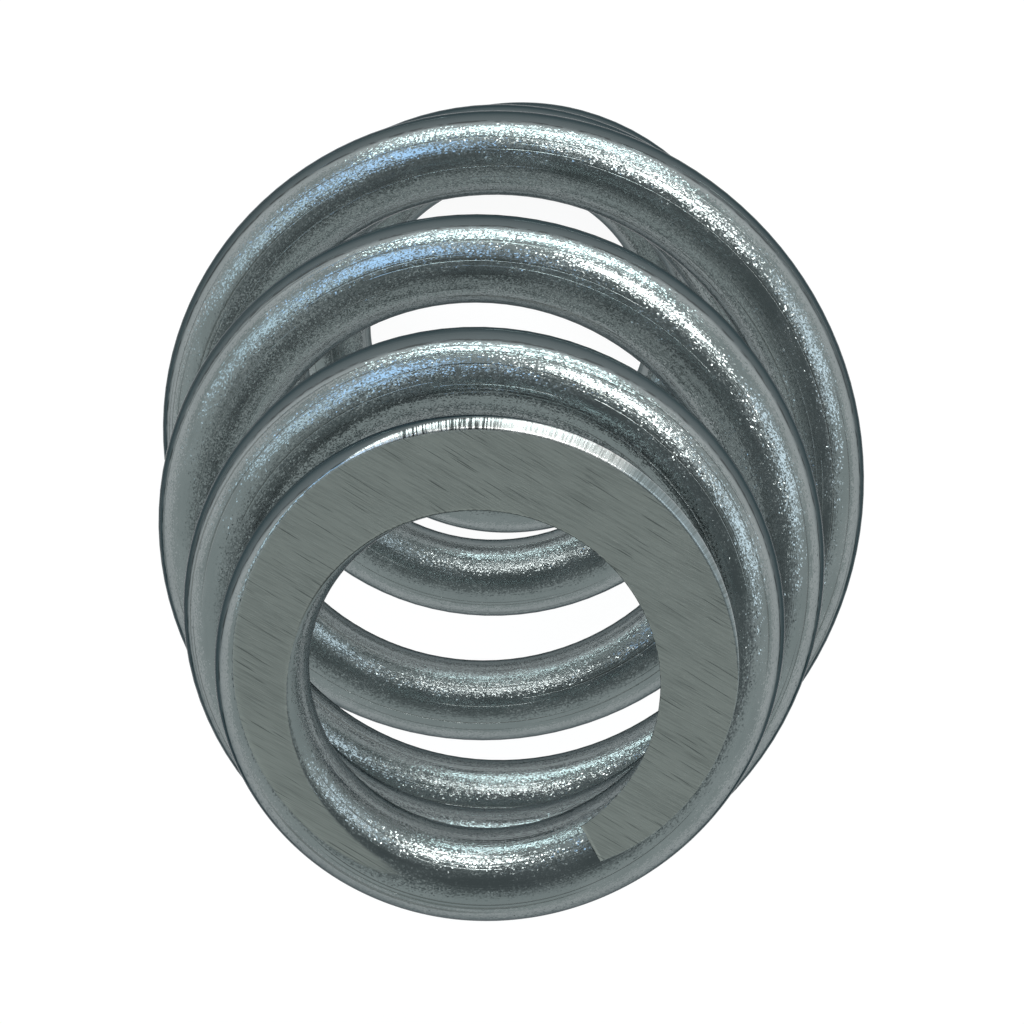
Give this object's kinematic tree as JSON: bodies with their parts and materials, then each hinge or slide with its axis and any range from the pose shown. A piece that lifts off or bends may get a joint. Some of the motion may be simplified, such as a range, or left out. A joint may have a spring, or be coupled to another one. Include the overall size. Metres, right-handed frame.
{
  "type": "barrel seat spring",
  "caption": "Left-hand wound barrel compression spring of round steel wire, with closed ends ground flat.",
  "frame": {"origin": "middle of the lower ground end face, on the coil's axis", "axes": "+Z along the coil's axis, from the lower ground end to the upper one; the lower cut end of the wire lies on +X"},
  "size_m": [0.0592, 0.0588, 0.1126],
  "materials": {
    "steel": "bright zinc plate on drawn wire, satin"
  },
  "bodies": {
    "root": {"seat_spring": "steel"}
  },
  "joints": []
}
